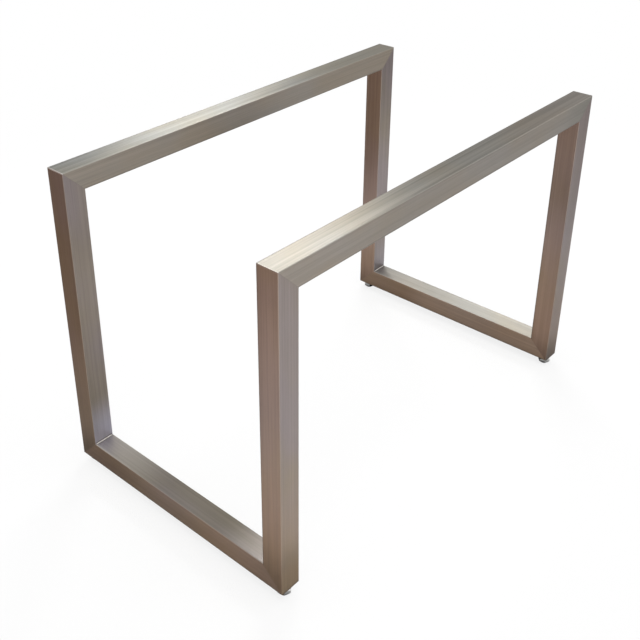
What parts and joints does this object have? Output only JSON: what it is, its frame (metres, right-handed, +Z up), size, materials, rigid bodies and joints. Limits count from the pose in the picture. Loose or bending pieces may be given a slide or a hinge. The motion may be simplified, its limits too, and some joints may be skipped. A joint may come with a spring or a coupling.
{
  "type": "table base",
  "caption": "Square-tube table base in brushed stainless steel: a mitred closed loop with top rails, legs and floor rails, on screw-in levelling feet.",
  "frame": {"origin": "on the floor under the middle of the base, at the bottom centre of its box", "axes": "+Z up, +Y along the top rails towards the far end, +X across the base towards the right rail"},
  "size_m": [0.614, 1.07, 0.737],
  "materials": {
    "top_rail_steel": "satin stainless steel, brushed along the rail",
    "leg_steel": "satin stainless steel, brushed along the leg",
    "floor_rail_steel": "satin stainless steel, brushed along the rail",
    "bright_nickel": "bright nickel plating",
    "zinc_plate": "bright zinc plating",
    "glide_nylon": "moulded nylon, matt"
  },
  "bodies": {
    "frame": {"left_top_rail": "top_rail_steel", "right_top_rail": "top_rail_steel", "near_left_leg": "leg_steel", "near_right_leg": "leg_steel", "far_left_leg": "leg_steel", "far_right_leg": "leg_steel", "near_floor_rail": "floor_rail_steel", "far_floor_rail": "floor_rail_steel", "near_left_rivet_nut": "zinc_plate", "near_left_lock_nut": "zinc_plate", "near_right_rivet_nut": "zinc_plate", "near_right_lock_nut": "zinc_plate", "far_left_rivet_nut": "zinc_plate", "far_left_lock_nut": "zinc_plate", "far_right_rivet_nut": "zinc_plate", "far_right_lock_nut": "zinc_plate"},
    "near_left_glide_body": {"near_left_glide": "glide_nylon"},
    "near_left_screw_body": {"near_left_hexagon_foot": "bright_nickel", "near_left_stud": "zinc_plate"},
    "near_right_glide_body": {"near_right_glide": "glide_nylon"},
    "near_right_screw_body": {"near_right_hexagon_foot": "bright_nickel", "near_right_stud": "zinc_plate"},
    "far_left_glide_body": {"far_left_glide": "glide_nylon"},
    "far_left_screw_body": {"far_left_hexagon_foot": "bright_nickel", "far_left_stud": "zinc_plate"},
    "far_right_glide_body": {"far_right_glide": "glide_nylon"},
    "far_right_screw_body": {"far_right_hexagon_foot": "bright_nickel", "far_right_stud": "zinc_plate"}
  },
  "joints": [
    {"name": "near_left_foot_lower", "type": "slide", "parent": "frame", "child": "near_left_glide_body", "axis": [0, 0, -1], "range_m": [0, 0.015]},
    {"name": "near_left_foot_turn", "type": "hinge", "parent": "near_left_glide_body", "child": "near_left_screw_body", "pos_m": [-0.29, -0.51, 0.0075], "axis": [0, 0, -1], "range_deg": [0, 4320]},
    {"name": "near_right_foot_lower", "type": "slide", "parent": "frame", "child": "near_right_glide_body", "axis": [0, 0, -1], "range_m": [0, 0.015]},
    {"name": "near_right_foot_turn", "type": "hinge", "parent": "near_right_glide_body", "child": "near_right_screw_body", "pos_m": [0.29, -0.51, 0.0075], "axis": [0, 0, -1], "range_deg": [0, 4320]},
    {"name": "far_left_foot_lower", "type": "slide", "parent": "frame", "child": "far_left_glide_body", "axis": [0, 0, -1], "range_m": [0, 0.015]},
    {"name": "far_left_foot_turn", "type": "hinge", "parent": "far_left_glide_body", "child": "far_left_screw_body", "pos_m": [-0.29, 0.51, 0.0075], "axis": [0, 0, -1], "range_deg": [0, 4320]},
    {"name": "far_right_foot_lower", "type": "slide", "parent": "frame", "child": "far_right_glide_body", "axis": [0, 0, -1], "range_m": [0, 0.015]},
    {"name": "far_right_foot_turn", "type": "hinge", "parent": "far_right_glide_body", "child": "far_right_screw_body", "pos_m": [0.29, 0.51, 0.0075], "axis": [0, 0, -1], "range_deg": [0, 4320]}
  ],
  "couplings": [
    {"joint": "near_left_foot_lower", "follows": "near_left_foot_turn", "m_per_rad": 0.00019894},
    {"joint": "near_right_foot_lower", "follows": "near_right_foot_turn", "m_per_rad": 0.00019894},
    {"joint": "far_left_foot_lower", "follows": "far_left_foot_turn", "m_per_rad": 0.00019894},
    {"joint": "far_right_foot_lower", "follows": "far_right_foot_turn", "m_per_rad": 0.00019894}
  ]
}
